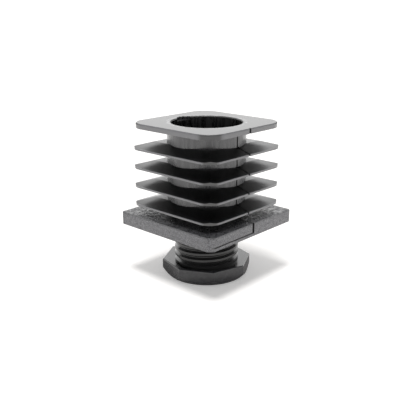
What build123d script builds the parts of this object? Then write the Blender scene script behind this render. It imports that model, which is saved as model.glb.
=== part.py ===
from build123d import *
from math import atan2, ceil, cos, degrees, radians, tan
import os

# Levelling end cap for square tube: a barbed plastic insert and the threaded foot that screws into it.
# The origin is the centre of the foot's sole, +Z runs up the insert's axis, and the flange's sides lie
# along X and Y. All sizes are in millimetres.

# ---------------------------------------------------------------- the tube the insert is made for
tube_side = 40.0              # outside of the square tube, which the flange finishes flush
tube_wall = 2.0
section_play = 0.1            # gap on each side between the tube's bore and the barbs or the end plate

# ---------------------------------------------------------------- the foot
head_across_flats = 27.8      # octagonal head, turned with a spanner or by hand
head_height = 5.0
head_turn = 6.3               # degrees: how far the foot happens to be screwed round
head_edge_radius = 0.4        # softened edge round the head's upper face
sole_radius = 13.3            # flat round sole
sole_chamfer_height = 1.8     # how far up the head's corners the chamfer round the sole reaches
thread_radius = 10.75         # crest of the thread
thread_depth = 0.75
thread_pitch = 2.2
thread_crest_width = 0.75
thread_flank_angle = 40.0     # degrees between a flank and the level
thread_start = -67.0          # degrees: where the ridge comes up through the head's upper face
stem_length = 24.0
stem_end_chamfer = 1.0
core_wall = 2.4               # wall left round the stem's hollow, measured from the thread's root
core_floor = 4.0              # plastic left between the hollow and the sole
foot_extension = 12.0         # gap from the head to the flange, as the foot is set

# ---------------------------------------------------------------- the insert
flange_thickness = 4.4
flange_corner_chamfer = 1.55
flange_edge_radius = 0.3
thread_clearance = 0.08       # on the radius, between the thread's crest and the socket
socket_depth = 14.0           # length of the wall that holds the thread, from the flange's underside
bore_relief = 0.67            # how much wider on the radius the plain bore above the socket is
bore_edge_chamfer = 0.3
neck_wall = 1.37
fin_count = 4
fin_pitch = 6.2
first_fin_gap = 2.6           # clear of the flange, to the underside of the lowest barb
fin_rim_thickness = 0.55
fin_rise = 1.8                # height of the barb's sloping faces
fin_flat_side = 24.0          # flat square on top of each barb
fin_corner_radius = 4.7
plate_gap = 7.0               # from the underside of the top barb to the end plate
plate_thickness = 1.65
plate_corner_radius = 6.3
plate_edge_chamfer = 0.25

# ---------------------------------------------------------------- worked out from the sizes above
section_side = tube_side - 2 * tube_wall - 2 * section_play
thread_root_radius = thread_radius - thread_depth
head_corner_radius = head_across_flats / 2 / cos(radians(22.5))
stem_top = head_height + stem_length
socket_radius = thread_radius + thread_clearance
bore_radius = socket_radius + bore_relief
neck_radius = bore_radius + neck_wall
flange_bottom = head_height + foot_extension
flange_top = flange_bottom + flange_thickness
fin_bottoms = [flange_top + first_fin_gap + number * fin_pitch for number in range(fin_count)]
plate_bottom = fin_bottoms[-1] + plate_gap
plate_top = plate_bottom + plate_thickness
bore_bottom = flange_bottom + socket_depth
core_radius = thread_root_radius - core_wall
fin_slope_taper = degrees(atan2((section_side - fin_flat_side) / 2, fin_rise))

# ---------------------------------------------------------------- one turn of the thread's ridge
# A trapezoid carried once round a helix. Turns stacked a pitch apart make the whole ridge, from one
# turn below the head's face to past the stem's end, and the stem's envelope trims it there.
ridge_sink = 0.05             # how deep the ridge is rooted in the stem's core
flank_height = (thread_depth + ridge_sink) * tan(radians(thread_flank_angle))
ridge_bottom = head_height - thread_pitch
turn_count = ceil(stem_length / thread_pitch) + 2
turn_places = [(0, 0, number * thread_pitch) for number in range(turn_count)]
core_top = ridge_bottom + (turn_count + 1) * thread_pitch
ridge_start = Plane(origin=(thread_root_radius, 0, ridge_bottom), x_dir=(1, 0, 0), z_dir=(0, -1, 0))

with BuildPart() as thread_turn:
    with BuildLine() as turn_path:
        Helix(thread_pitch, thread_pitch, thread_root_radius, center=(0, 0, ridge_bottom))
    with BuildSketch(ridge_start):
        with BuildLine():
            Polyline(
                (-ridge_sink, -thread_crest_width / 2 - flank_height),
                (thread_depth, -thread_crest_width / 2),
                (thread_depth, thread_crest_width / 2),
                (-ridge_sink, thread_crest_width / 2 + flank_height),
                close=True,
            )
        make_face()
    sweep(path=turn_path.wires()[0], is_frenet=True)

# ---------------------------------------------------------------- threaded stem
# The envelope stands clear of the crest all round, so only its ends and its lead chamfer cut.
envelope_margin = 1.0

with BuildPart() as stem_envelope:
    with BuildSketch(Plane.XY.offset(head_height / 2)):
        Circle(thread_radius + envelope_margin)
    extrude(amount=stem_top - head_height / 2)
    chamfer(stem_envelope.edges().sort_by(Axis.Z)[-1], length=stem_end_chamfer + envelope_margin)

with BuildPart() as threaded_stem:
    with BuildSketch(Plane.XY):
        Circle(thread_root_radius)
    extrude(amount=core_top)
    with Locations(*turn_places):
        add(thread_turn.part, rotation=(0, 0, thread_start))
    add(stem_envelope.part, mode=Mode.INTERSECT)

# ---------------------------------------------------------------- levelling foot
# A turned blank gives the head its round sole: flat disc, chamfer, then straight up past the corners.
with BuildPart() as sole_blank:
    with BuildSketch(Plane.XZ):
        with BuildLine():
            Polyline(
                (0, 0),
                (sole_radius, 0),
                (head_corner_radius, sole_chamfer_height),
                (head_corner_radius, head_height),
                (0, head_height),
                close=True,
            )
        make_face()
    revolve(axis=Axis.Z)

with BuildPart() as levelling_foot:
    with BuildSketch(Plane.XY):
        RegularPolygon(radius=head_corner_radius, side_count=8, rotation=head_turn)
    extrude(amount=head_height)
    fillet(levelling_foot.faces().sort_by(Axis.Z)[-1].edges(), radius=head_edge_radius)
    add(sole_blank.part, mode=Mode.INTERSECT)
    add(threaded_stem.part)
    with BuildSketch(Plane.XY.offset(core_floor)):
        Circle(core_radius)
    extrude(amount=stem_top - core_floor, mode=Mode.SUBTRACT)

# ---------------------------------------------------------------- one barb
# A square rim whose top slopes up to a flat square. The corners are rounded straight down through
# the slopes, which leaves a taller lens-shaped face at each corner than along the sides.
with BuildPart() as barb:
    with BuildSketch(Plane.XY):
        Rectangle(section_side, section_side)
    extrude(amount=fin_rim_thickness)
    with BuildSketch(Plane.XY.offset(fin_rim_thickness)):
        Rectangle(section_side, section_side)
    extrude(amount=fin_rise, taper=fin_slope_taper)
    with BuildSketch(Plane.XY):
        RectangleRounded(section_side, section_side, fin_corner_radius)
    extrude(amount=fin_rim_thickness + fin_rise, mode=Mode.INTERSECT)

# ---------------------------------------------------------------- insert body
with BuildPart() as insert_body:
    with BuildSketch(Plane.XY.offset(flange_bottom)):
        Rectangle(tube_side, tube_side)
        chamfer(vertices(), length=flange_corner_chamfer)
    extrude(amount=flange_thickness)
    fillet(insert_body.edges().filter_by(Plane.XY), radius=flange_edge_radius)
    with BuildSketch(Plane.XY.offset(flange_top)):
        Circle(neck_radius)
    extrude(amount=plate_bottom - flange_top)
    with Locations(*[(0, 0, height) for height in fin_bottoms]):
        add(barb.part)
    with BuildSketch(Plane.XY.offset(plate_bottom)):
        RectangleRounded(section_side, section_side, plate_corner_radius)
    extrude(amount=plate_thickness)
    chamfer(insert_body.faces().sort_by(Axis.Z)[-1].edges(), length=plate_edge_chamfer)
    with BuildSketch(Plane.XY.offset(flange_bottom)):
        Circle(socket_radius)
    extrude(amount=socket_depth, mode=Mode.SUBTRACT)
    with BuildSketch(Plane.XY.offset(bore_bottom)):
        Circle(bore_radius)
    extrude(amount=plate_top - bore_bottom, mode=Mode.SUBTRACT)
    bore_mouth = insert_body.faces().sort_by(Axis.Z)[-1].inner_wires()[0].edges()
    chamfer(bore_mouth, length=bore_edge_chamfer)

# ---------------------------------------------------------------- labels and files
levelling_foot.part.label = "levelling_foot"
insert_body.part.label = "insert_body"
os.makedirs("parts", exist_ok=True)
export_step(levelling_foot.part, "parts/levelling_foot.step")
export_step(insert_body.part, "parts/insert_body.step")
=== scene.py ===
import bmesh
import bpy
from math import cos, radians, sin
from mathutils import Matrix, Vector


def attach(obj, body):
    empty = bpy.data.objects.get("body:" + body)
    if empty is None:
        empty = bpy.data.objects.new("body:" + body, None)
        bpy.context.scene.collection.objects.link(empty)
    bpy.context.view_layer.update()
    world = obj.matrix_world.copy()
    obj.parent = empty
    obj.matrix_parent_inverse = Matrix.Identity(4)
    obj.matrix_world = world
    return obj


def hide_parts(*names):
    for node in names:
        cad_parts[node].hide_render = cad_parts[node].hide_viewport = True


# A levelling end cap for square tube: a barbed insert, with the marks its mould left on it, and the
# threaded foot that screws into it. Lengths are in metres, and +Z runs up the insert's axis.
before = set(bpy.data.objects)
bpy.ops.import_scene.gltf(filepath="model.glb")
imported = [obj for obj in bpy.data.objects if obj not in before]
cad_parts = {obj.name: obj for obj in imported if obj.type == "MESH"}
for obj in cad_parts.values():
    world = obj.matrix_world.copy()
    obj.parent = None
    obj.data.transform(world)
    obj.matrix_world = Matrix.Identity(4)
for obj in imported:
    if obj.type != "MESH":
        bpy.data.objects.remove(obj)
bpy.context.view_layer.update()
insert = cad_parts["insert_body"]
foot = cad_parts["levelling_foot"]

# ---------------------------------------------------------------- the insert, as its solid has it
flange_bottom = 0.0170
flange_top = 0.0214
flange_half = 0.0200
flange_corner_chamfer = 0.00155
flange_edge_radius = 0.0003
barb_half = 0.0179
barb_flat_half = 0.0120
barb_bottoms = (0.0240, 0.0302, 0.0364, 0.0426)
barb_rim = 0.00055
barb_rise = 0.0018
neck_radius = 0.01287
bore_radius = 0.0115
plate_bottom = 0.0496
plate_top = 0.05125

# ---------------------------------------------------------------- the marks its mould left
# The parting line runs round the two sides across X. Its grooves are drawn a few times as wide as the
# real ones, which would not show.
line_depth = 0.00025
line_half_width = 0.00028             # on the barbs and the neck
flange_line_half_width = 0.00045
nick_depth = 0.0004                   # where the line crosses a rim
barb_nick_half_width = 0.0004
barb_nick_rise = 0.0012               # how far above a barb's rim its nick goes on
plate_nick_half_width = 0.00045
witness_low_edge = 0.01805            # the witness line on one face of the flange
witness_high_edge = 0.01845
sharp_corner_leg = 0.0005             # chamfer of the three flange corners away from the gate
# A torn notch in the bore's mouth: how far out it reaches at each step round the bore.
tear_radii = (0.01150, 0.01240, 0.01210, 0.01320, 0.01280, 0.01335, 0.01255, 0.01285, 0.01200, 0.01150)
tear_start, tear_step = 160.0, 3.4    # degrees round the bore
tear_depth = 0.0011
tear_inner_radius = 0.0110

overshoot = 0.0004                    # how far a cutter stands clear of the skin that it cuts
cutter_gap = 0.00005                  # between a groove's end and the face next to it


# ---------------------------------------------------------------- finishes
def shade(code):
    """An sRGB hex colour as the linear RGBA that a node socket takes."""
    channels = [int(code[i:i + 2], 16) / 255 for i in (1, 3, 5)]
    return [c / 12.92 if c <= 0.04045 else ((c + 0.055) / 1.055) ** 2.4 for c in channels] + [1.0]


def add_node(tree, kind, inputs, **settings):
    """Adds one node with its settings. Each input is a plain value or the output of another node."""
    made = tree.nodes.new(kind)
    for name, value in settings.items():
        setattr(made, name, value)
    for name, value in inputs.items():
        if isinstance(value, bpy.types.NodeSocket):
            tree.links.new(value, made.inputs[name])
        else:
            made.inputs[name].default_value = value
    return made


def new_material(name):
    material = bpy.data.materials.new(name)
    material.use_nodes = True
    material.node_tree.nodes.clear()
    return material, material.node_tree


def moulded_insert_plastic():
    """Carbon-black polyamide, injection moulded. The barbs are satin, near black face on and pale at a
    grazing view. Fine spark-eroded grain makes the flange a dull, speckled grey."""
    material, tree = new_material("moulded_polyamide_insert")
    place = add_node(tree, "ShaderNodeTexCoord", {}).outputs["Object"]
    spot = add_node(tree, "ShaderNodeSeparateXYZ", {"Vector": place}).outputs
    off_x = add_node(tree, "ShaderNodeMath", {0: spot["X"]}, operation="ABSOLUTE").outputs[0]
    off_y = add_node(tree, "ShaderNodeMath", {0: spot["Y"]}, operation="ABSOLUTE").outputs[0]
    outward = add_node(tree, "ShaderNodeMath", {0: off_x, 1: off_y}, operation="MAXIMUM").outputs[0]
    level_place = add_node(tree, "ShaderNodeCombineXYZ", {"X": spot["X"], "Y": spot["Y"]}).outputs[0]
    reach = add_node(tree, "ShaderNodeVectorMath", {0: level_place}, operation="LENGTH").outputs["Value"]
    # A band just under the flange's upper edge, where painted shade lies.
    edge_height = flange_top - 0.00034
    from_edge = add_node(
        tree, "ShaderNodeMath", {0: spot["Z"], 1: edge_height}, operation="SUBTRACT",
    ).outputs[0]
    off_edge_line = add_node(tree, "ShaderNodeMath", {0: from_edge}, operation="ABSOLUTE").outputs[0]

    # Spark erosion leaves pits of about 0.1 mm in the tool. They are drawn at 0.4 mm, the finest that
    # shows. The flange's gloss varies in patches of 0.9 mm. Drag marks run down the neck, 1.1 mm apart.
    stretched = add_node(
        tree, "ShaderNodeVectorMath", {0: place, 1: (1.0, 1.0, 0.12)}, operation="MULTIPLY",
    ).outputs["Vector"]
    patterns = {}
    for name, on, per_metre, detail, roughness in (
        ("pit", place, 2400.0, 3.0, 0.75),
        ("grain", place, 2400.0, 3.0, 0.7),
        ("streak", stretched, 900.0, 2.0, 0.6),
        ("patch", place, 1100.0, 3.0, 0.7),
    ):
        patterns[name] = add_node(
            tree, "ShaderNodeTexNoise",
            {"Vector": on, "Scale": per_metre, "Detail": detail, "Roughness": roughness},
        ).outputs["Fac"]

    # Smooth steps: what is measured, where the step starts and ends, and its value before and after.
    fade = 0.00008
    steps = {
        "on_neck": (reach, neck_radius + 0.00005, neck_radius + 0.0003, 1.0, 0.0),
        "off_bore": (reach, bore_radius + 0.0004, bore_radius + 0.0006, 0.0, 1.0),
        # The barbs' outer edges: partly wear, partly a painted highlight.
        "worn_and_lit_edge": (outward, barb_half - 0.0004, barb_half, 0.0, 1.0),
        "pits": (patterns["pit"], 0.38, 0.62, 0.0, 1.0),
        "on_face": (spot["Z"], flange_top - 0.0002, flange_top - 0.00005, 0.0, 1.0),
        "on_body": (spot["Z"], flange_top + 0.00005, flange_top + 0.0003, 0.0, 1.0),
        "off_line": (off_y, line_half_width, line_half_width + fade, 0.0, 1.0),
        "off_flange_line": (off_y, flange_line_half_width, flange_line_half_width + fade, 0.0, 1.0),
        "under_flange_line": (spot["Z"], witness_low_edge, witness_high_edge, 1.0, 0.0),
        "above_flange": (spot["Z"], flange_top, flange_top + 0.0001, 0.0, 1.0),
        "within_neck": (outward, neck_radius - 0.0006, neck_radius - 0.0004, 1.0, 0.0),
        "under_witness": (spot["Z"], witness_low_edge - 0.00006, witness_low_edge, 1.0, 0.0),
        "over_witness": (spot["Z"], witness_high_edge, witness_high_edge + 0.00006, 0.0, 1.0),
        "behind_witness": (spot["X"], flange_half - 0.0006, flange_half - 0.0004, 1.0, 0.0),
        "past_witness": (spot["Y"], flange_line_half_width, flange_line_half_width + 0.0001, 0.0, 1.0),
        "off_edge": (off_edge_line, 0.00006, 0.00016, 0.35, 1.0),
        "patchy_gloss": (patterns["patch"], 0.4, 0.6, 0.26, 0.62),
        "streaky_gloss": (patterns["streak"], 0.35, 0.65, -0.08, 0.06),
        "over_bevel_foot": (spot["Z"], plate_top - 0.0005, plate_top - 0.0003, 0.0, 1.0),
        "under_bevel_top": (spot["Z"], plate_top - 0.00003, plate_top - 0.00001, 1.0, 0.0),
    }
    mask = {}
    for name, (measure, start, end, low, high) in steps.items():
        mask[name] = add_node(
            tree, "ShaderNodeMapRange",
            {"Value": measure, "From Min": start, "From Max": end, "To Min": low, "To Max": high},
            interpolation_type="SMOOTHSTEP",
        ).outputs["Result"]

    # Sums on them, where a name stands for a step above or for an earlier sum.
    satin_roughness, bevel_roughness, streak_relief = 0.3, 0.35, 0.3
    for name, operation, *terms in (
        # The neck is painted a lighter grey than the barbs as painted light.
        ("lit_neck_share", "MULTIPLY", "on_neck", "off_bore"),
        ("low_line", "MAXIMUM", "off_flange_line", "under_flange_line"),
        ("low_line", "MAXIMUM", "low_line", "above_flange"),
        ("below", "SUBTRACT", 1.0, "above_flange"),
        ("high_line", "MAXIMUM", "off_line", "below"),
        ("off_lines", "MULTIPLY", "low_line", "high_line"),
        ("off_lines", "MAXIMUM", "off_lines", "within_neck"),
        ("off_witness", "MAXIMUM", "under_witness", "over_witness"),
        ("witness_end", "MAXIMUM", "behind_witness", "past_witness"),
        ("off_witness", "MAXIMUM", "off_witness", "witness_end"),
        ("off_marks", "MULTIPLY", "off_witness", "off_edge"),
        ("off_painted_shade_lines", "MULTIPLY", "off_lines", "off_marks"),
        ("streak_share", "MULTIPLY", "on_neck", streak_relief),
        ("bevel", "MULTIPLY", "over_bevel_foot", "under_bevel_top"),
        ("neck_gloss", "MULTIPLY_ADD", "streaky_gloss", "on_neck", satin_roughness),
    ):
        inputs = {number: mask.get(term, term) for number, term in enumerate(terms)}
        mask[name] = add_node(tree, "ShaderNodeMath", inputs, operation=operation).outputs[0]

    # Colours, each mixed from two by a share. The neck is painted a lighter grey as painted light, and the
    # barbs' outer edges go grey, partly wear from rubbing on the tube and the hand and partly a painted
    # highlight. The rest stays near black. The flange's top face is painted darker than its sides as
    # painted shade, and painted shade lies in the parting line, the witness line and along the flange's
    # upper edge.
    colour = {}
    for name, share, *pair in (
        ("lit_neck_colour", "lit_neck_share", "#060607", "#333336"),
        ("satin", "worn_and_lit_edge", "lit_neck_colour", "#626265"),
        ("flange_side", "pits", "#2e2e31", "#6e6e72"),
        # The flange's top face is painted darker than its sides as painted shade.
        ("shaded_flange_face", "pits", "#050506", "#3c3c3f"),
        ("flange", "on_face", "flange_side", "shaded_flange_face"),
        ("plain", "on_body", "flange", "satin"),
        ("with_painted_shade_lines", "off_painted_shade_lines", "#020202", "plain"),
    ):
        first, second = (colour[part] if part in colour else shade(part) for part in pair)
        colour[name] = add_node(
            tree, "ShaderNodeMix", {0: mask[share], 6: first, 7: second}, data_type="RGBA",
        ).outputs[2]

    # Relief and gloss: grain on the flange, streaks on the neck, and bevels blunt from handling.
    streak_height = add_node(
        tree, "ShaderNodeMath", {0: patterns["streak"], 1: mask["streak_share"]}, operation="MULTIPLY",
    ).outputs[0]
    height = add_node(
        tree, "ShaderNodeMix", {0: mask["on_body"], 2: patterns["grain"], 3: streak_height},
    ).outputs[0]
    bump = add_node(tree, "ShaderNodeBump", {"Height": height, "Strength": 0.6, "Distance": 0.0001})
    gloss = add_node(
        tree, "ShaderNodeMix", {0: mask["on_body"], 2: mask["patchy_gloss"], 3: mask["neck_gloss"]},
    ).outputs[0]
    finish = add_node(
        tree, "ShaderNodeMath", {0: mask["bevel"], 1: bevel_roughness, 2: gloss}, operation="MULTIPLY_ADD",
    ).outputs[0]
    # Polyamide's own IOR is 1.53. A higher one gives the strong sheen that a fresh moulding has.
    surface = add_node(tree, "ShaderNodeBsdfPrincipled", {
        "Base Color": colour["with_painted_shade_lines"], "Normal": bump.outputs["Normal"], "Roughness": finish, "IOR": 1.7,
    })
    add_node(tree, "ShaderNodeOutputMaterial", {"Surface": surface.outputs["BSDF"]})
    return material


def satin_foot_plastic():
    """Carbon-black polyamide, moulded in a polished tool: smooth and deep black in the thread, with sharp
    highlights on its crests. Round the head it is painted grey as a painted reflection of the floor,
    varied by scuffs."""
    material, tree = new_material("moulded_polyamide_foot")
    place = add_node(tree, "ShaderNodeTexCoord", {}).outputs["Object"]
    spot = add_node(tree, "ShaderNodeSeparateXYZ", {"Vector": place}).outputs
    level_place = add_node(tree, "ShaderNodeCombineXYZ", {"X": spot["X"], "Y": spot["Y"]}).outputs[0]
    reach = add_node(tree, "ShaderNodeVectorMath", {0: level_place}, operation="LENGTH").outputs["Value"]
    head_inner, head_outer = 0.0125, 0.0137
    lit_head_share = add_node(
        tree, "ShaderNodeMapRange", {"Value": reach, "From Min": head_inner, "From Max": head_outer},
        interpolation_type="SMOOTHSTEP",
    ).outputs["Result"]
    # Scuffs of 1.4 mm, and a slight waviness of 3 mm where the moulding shrank.
    scuffs = add_node(
        tree, "ShaderNodeTexNoise", {"Vector": place, "Scale": 700.0, "Detail": 3.0, "Roughness": 0.65},
    ).outputs["Fac"]
    waves = add_node(
        tree, "ShaderNodeTexNoise", {"Vector": place, "Scale": 350.0, "Detail": 2.0, "Roughness": 0.5},
    ).outputs["Fac"]
    # The head's sides are painted grey as a painted reflection of the floor, varied by the scuffs.
    lit_scuffs = add_node(
        tree, "ShaderNodeMix", {0: scuffs, 6: shade("#2a2a2c"), 7: shade("#4c4c4f")}, data_type="RGBA",
    ).outputs[2]
    colour = add_node(
        tree, "ShaderNodeMix", {0: lit_head_share, 6: shade("#040404"), 7: lit_scuffs}, data_type="RGBA",
    ).outputs[2]
    bump = add_node(tree, "ShaderNodeBump", {"Height": waves, "Strength": 0.15, "Distance": 0.00005})
    surface = add_node(tree, "ShaderNodeBsdfPrincipled", {
        "Base Color": colour, "Normal": bump.outputs["Normal"], "Roughness": 0.2, "IOR": 1.6,
    })
    add_node(tree, "ShaderNodeOutputMaterial", {"Surface": surface.outputs["BSDF"]})
    return material


def paint(piece, material):
    piece.data.materials.clear()
    piece.data.materials.append(material)


# ---------------------------------------------------------------- the insert as it left its mould
# It keeps the form of its solid. What is added is the parting line, the witness line on the flange, a
# torn notch in the bore's mouth, and the sharper corners of the flange.
def welded_copy(node, name):
    """A new piece with a node's own form, its doubled corners joined and its stored normals left out."""
    form = bmesh.new()
    form.from_mesh(node.data)
    form.transform(node.matrix_world)
    weld_distance = 0.000001
    bmesh.ops.remove_doubles(form, verts=form.verts, dist=weld_distance)
    form.verts.index_update()
    corners = [corner.co for corner in form.verts]
    faces = [[corner.index for corner in face.verts] for face in form.faces]
    mesh = bpy.data.meshes.new(name)
    mesh.from_pydata(corners, [], faces)
    form.free()
    piece = bpy.data.objects.new(name, mesh)
    bpy.context.scene.collection.objects.link(piece)
    return piece


def sharpen_flange_corners(piece, leg):
    """Draws in the chamfer of three of the flange's corners. The one at +X -Y, by the gate, stays full."""
    shift = flange_corner_chamfer - leg
    nearest = 2 * flange_half - flange_corner_chamfer - 2 * flange_edge_radius
    highest = flange_top + 0.0001
    for corner in piece.data.vertices:
        x, y, z = corner.co
        if abs(x) + abs(y) <= nearest or z > highest or (x > 0 and y < 0):
            continue
        if abs(x) > abs(y):
            corner.co.y += shift if y > 0 else -shift
        else:
            corner.co.x += shift if x > 0 else -shift


def add_solid(form, rows):
    """Adds the closed solid that runs through rows of four corners each."""
    corners = [[form.verts.new(place) for place in row] for row in rows]
    for row, after in zip(corners, corners[1:]):
        for here in range(4):
            following = (here + 1) % 4
            form.faces.new((row[here], row[following], after[following], after[here]))
    form.faces.new(corners[0])
    form.faces.new(corners[-1][::-1])


def box_outline(x_low, x_high, z_low, z_high):
    return [(x_low, z_low), (x_high, z_low), (x_high, z_high), (x_low, z_high)]


def mould_mark_cuts():
    """The cutters of the mould's marks, as one mesh of separate closed solids."""
    # On each side across X: an outline in X and Z, and how far it reaches to each side along Y.
    flange_groove = box_outline(
        flange_half - 2 * line_depth, flange_half + overshoot, witness_high_edge, flange_top + overshoot,
    )
    cuts = [(flange_groove, flange_line_half_width)]
    crests = [bottom + barb_rim + barb_rise for bottom in barb_bottoms]
    for low, high in zip([flange_top] + crests, list(barb_bottoms) + [plate_bottom]):
        neck_groove = box_outline(
            neck_radius - line_depth, neck_radius + overshoot, low + cutter_gap, high - cutter_gap,
        )
        cuts.append((neck_groove, line_half_width))
    slope_start = barb_flat_half + overshoot
    for bottom, crest in zip(barb_bottoms, crests):
        slope_groove = [
            (slope_start, crest - line_depth), (barb_half + overshoot, bottom + barb_rim - line_depth),
            (barb_half + overshoot, crest + overshoot), (slope_start, crest + overshoot),
        ]
        cuts.append((slope_groove, line_half_width))
    nicks = [
        (bottom - overshoot, bottom + barb_rim + barb_nick_rise, barb_nick_half_width)
        for bottom in barb_bottoms
    ]
    nicks.append((plate_bottom - overshoot, plate_top + overshoot, plate_nick_half_width))
    for low, high, half_width in nicks:
        cuts.append((box_outline(barb_half - nick_depth, barb_half + overshoot, low, high), half_width))

    form = bmesh.new()
    for side in (1, -1):
        for outline, half_width in cuts:
            add_solid(form, [[(side * x, y, z) for x, z in outline] for y in (-half_width, half_width)])
    # The witness line runs along one face, from the gate's corner to the parting line.
    witness = box_outline(
        flange_half - line_depth, flange_half + overshoot, witness_low_edge, witness_high_edge - 0.00001,
    )
    witness_ends = (-flange_half + flange_corner_chamfer, flange_line_half_width)
    add_solid(form, [[(x, y, z) for x, z in witness] for y in witness_ends])
    # The notch is where a sliver of flash was ripped out of the bore's mouth.
    tear = []
    for number, radius in enumerate(tear_radii):
        angle = radians(tear_start + number * tear_step)
        outline = box_outline(tear_inner_radius, radius, plate_top - tear_depth, plate_top + overshoot)
        tear.append([(r * cos(angle), r * sin(angle), z) for r, z in outline])
    add_solid(form, tear)

    bmesh.ops.recalc_face_normals(form, faces=form.faces)
    mesh = bpy.data.meshes.new("mould_mark_cuts")
    form.to_mesh(mesh)
    form.free()
    return bpy.data.objects.new("mould_mark_cuts", mesh)


def cut_with(piece, cutter):
    """Cuts one mesh out of another and leaves no modifier behind."""
    bpy.context.scene.collection.objects.link(cutter)
    cut = piece.modifiers.new("cut", "BOOLEAN")
    cut.operation = "DIFFERENCE"
    cut.solver = "EXACT"
    cut.use_self = True
    cut.object = cutter
    bpy.context.view_layer.update()
    shaped = bpy.data.meshes.new_from_object(piece.evaluated_get(bpy.context.evaluated_depsgraph_get()))
    piece.modifiers.clear()
    piece.data = shaped
    bpy.data.objects.remove(cutter)


crease_angle = radians(28)
moulding = welded_copy(insert, "insert_moulding")
sharpen_flange_corners(moulding, sharp_corner_leg)
cut_with(moulding, mould_mark_cuts())
moulding.data.shade_smooth()
moulding.data.set_sharp_from_angle(angle=crease_angle)

paint(moulding, moulded_insert_plastic())
paint(foot, satin_foot_plastic())
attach(moulding, "insert")
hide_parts("insert_body")


# ---------------------------------------------------------------- floor, backdrop and light
def white_floor():
    """Matt white board. To the camera it glows a little, so that it joins the white behind it, and so it
    does in what the part mirrors, except close round the part, where its shadow lies."""
    material, tree = new_material("matt_white_board")
    rays = add_node(tree, "ShaderNodeLightPath", {}).outputs
    place = add_node(tree, "ShaderNodeTexCoord", {}).outputs["Object"]
    reach = add_node(tree, "ShaderNodeVectorMath", {0: place}, operation="LENGTH").outputs["Value"]
    shadow_reach, clear_reach = 0.02, 0.06
    camera_glow, mirror_glow = 0.3, 0.9
    clear = add_node(
        tree, "ShaderNodeMapRange",
        {"Value": reach, "From Min": shadow_reach, "From Max": clear_reach, "To Max": mirror_glow},
        interpolation_type="SMOOTHSTEP",
    ).outputs["Result"]
    mirrored = add_node(
        tree, "ShaderNodeMath", {0: clear, 1: rays["Is Glossy Ray"]}, operation="MULTIPLY",
    ).outputs[0]
    seen = add_node(
        tree, "ShaderNodeMath", {0: rays["Is Camera Ray"], 1: camera_glow, 2: mirrored},
        operation="MULTIPLY_ADD",
    ).outputs[0]
    board = add_node(tree, "ShaderNodeBsdfDiffuse", {"Color": shade("#f3f1ef")}).outputs[0]
    glow = add_node(tree, "ShaderNodeEmission", {"Strength": seen}).outputs[0]
    both = add_node(tree, "ShaderNodeAddShader", {0: board, 1: glow}).outputs[0]
    add_node(tree, "ShaderNodeOutputMaterial", {"Surface": both})
    return material


floor_half = 3.0
floor_corners = [(x * floor_half, y * floor_half, 0) for x, y in ((-1, -1), (1, -1), (1, 1), (-1, 1))]
floor_mesh = bpy.data.meshes.new("floor")
floor_mesh.from_pydata(floor_corners, [], [(0, 1, 2, 3)])
floor = bpy.data.objects.new("floor", floor_mesh)
bpy.context.scene.collection.objects.link(floor)
paint(floor, white_floor())

# The room is dim white on matt surfaces, and full white where it is seen or mirrored. It is brightest
# behind the part, away from the camera, which gives black plastic its pale grazing highlights.
world = bpy.data.worlds.new("white_room")
bpy.context.scene.world = world
world.use_nodes = True
room = world.node_tree
room.nodes.clear()
rays = add_node(room, "ShaderNodeLightPath", {}).outputs
shown = add_node(
    room, "ShaderNodeMath", {0: rays["Is Camera Ray"], 1: rays["Is Glossy Ray"]}, operation="MAXIMUM",
).outputs[0]
matt_level, shown_level = 0.45, 1.25
level = add_node(
    room, "ShaderNodeMapRange", {"Value": shown, "To Min": matt_level, "To Max": shown_level},
).outputs["Result"]
direction = add_node(room, "ShaderNodeTexCoord", {}).outputs["Generated"]
away_from_camera = (-0.67, 0.74, 0.0)
backness = add_node(
    room, "ShaderNodeVectorMath", {0: direction, 1: away_from_camera}, operation="DOT_PRODUCT",
).outputs["Value"]
back_start, back_full, back_gain = -0.2, 0.7, 1.85
back_glow = add_node(room, "ShaderNodeMapRange", {
    "Value": backness, "From Min": back_start, "From Max": back_full, "To Min": 1.0, "To Max": back_gain,
}).outputs["Result"]
strength = add_node(room, "ShaderNodeMath", {0: level, 1: back_glow}, operation="MULTIPLY").outputs[0]
sky = add_node(room, "ShaderNodeBackground", {"Strength": strength}).outputs[0]
add_node(room, "ShaderNodeOutputWorld", {"Surface": sky})

# A broad lamp overhead lays the soft shadow round the foot.
overhead = bpy.data.lights.new("overhead_light", "SUN")
overhead.energy = 2.0
overhead.angle = 0.28
lamp = bpy.data.objects.new("overhead_light", overhead)
bpy.context.scene.collection.objects.link(lamp)
shines_towards = Vector((-0.07, 0.19, -1.0))
lamp.rotation_euler = shines_towards.to_track_quat("-Z", "Y").to_euler()

# ---------------------------------------------------------------- camera
# It looks down a little at the corner of the flange by the gate.
picture_width = 416
focal_pixels = 612.398
camera_data = bpy.data.cameras.new("camera")
camera_data.sensor_fit = "HORIZONTAL"
camera_data.sensor_width = 36.0
camera_data.lens = camera_data.sensor_width * focal_pixels / picture_width
camera_data.clip_start = 0.01
camera = bpy.data.objects.new("camera", camera_data)
bpy.context.scene.collection.objects.link(camera)
right = Vector((0.740, 0.673, 0.002)).normalized()
up = Vector((-0.207, 0.225, 0.952))
up = (up - right * up.dot(right)).normalized()
turn = Matrix((right, up, right.cross(up))).transposed().to_4x4()
camera_place = (0.131611, -0.144191, 0.084836)
camera.matrix_world = Matrix.Translation(camera_place) @ turn
bpy.context.scene.camera = camera
bpy.context.scene.view_settings.view_transform = "Standard"
